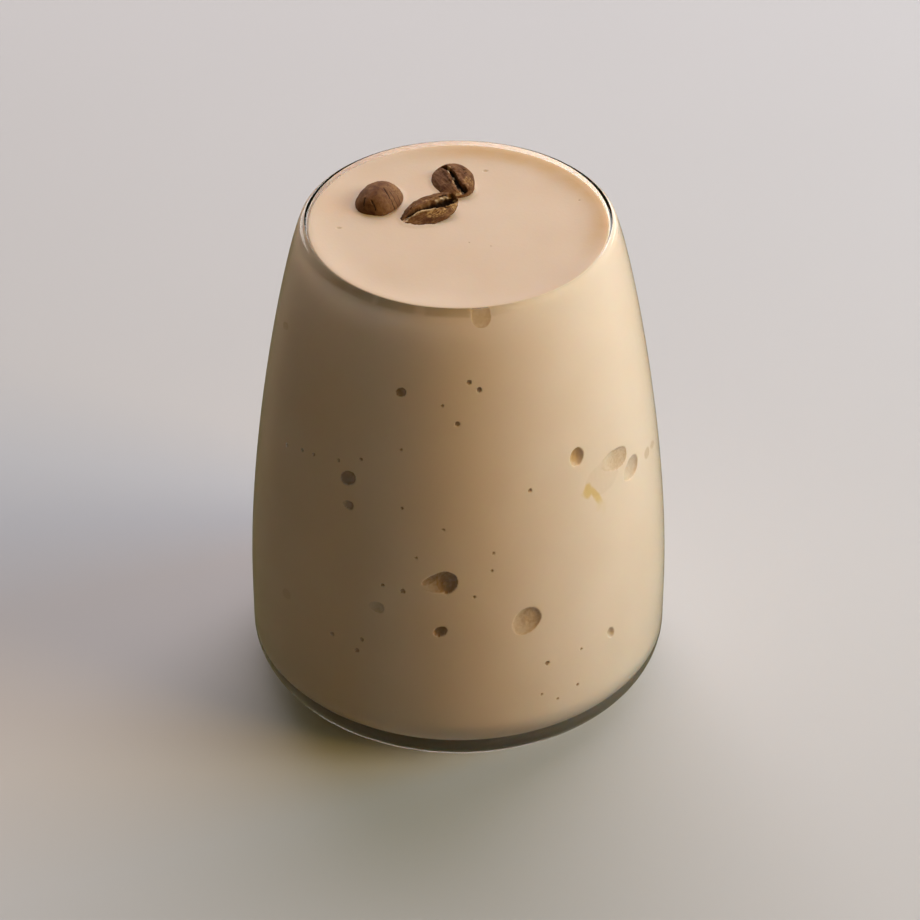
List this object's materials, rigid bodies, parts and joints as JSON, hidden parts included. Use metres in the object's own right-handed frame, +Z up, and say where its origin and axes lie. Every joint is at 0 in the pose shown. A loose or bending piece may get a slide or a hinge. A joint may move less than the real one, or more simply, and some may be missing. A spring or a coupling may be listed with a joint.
{
  "type": "whipped coffee cream in a glass",
  "caption": "Whipped coffee cream filling a stemless glass to the brim, with coffee beans on top and air pockets against the clear wall.",
  "frame": {"origin": "middle of the glass's foot, on the surface that it stands on", "axes": "+Z up along the axis of the glass, -Y towards the front that the picture shows, +X to its right"},
  "size_m": [0.078, 0.078, 0.0967],
  "materials": {
    "clear_glass": "clear polished glass",
    "whipped_cream": "smooth whipped coffee cream, satin, with small air pockets",
    "roasted_bean": "medium roasted coffee bean, dry and finely wrinkled"
  },
  "bodies": {
    "root": {"glass": "clear_glass", "coffee_cream": "whipped_cream", "bean_left": "roasted_bean", "bean_front": "roasted_bean", "bean_right": "roasted_bean"}
  },
  "joints": []
}
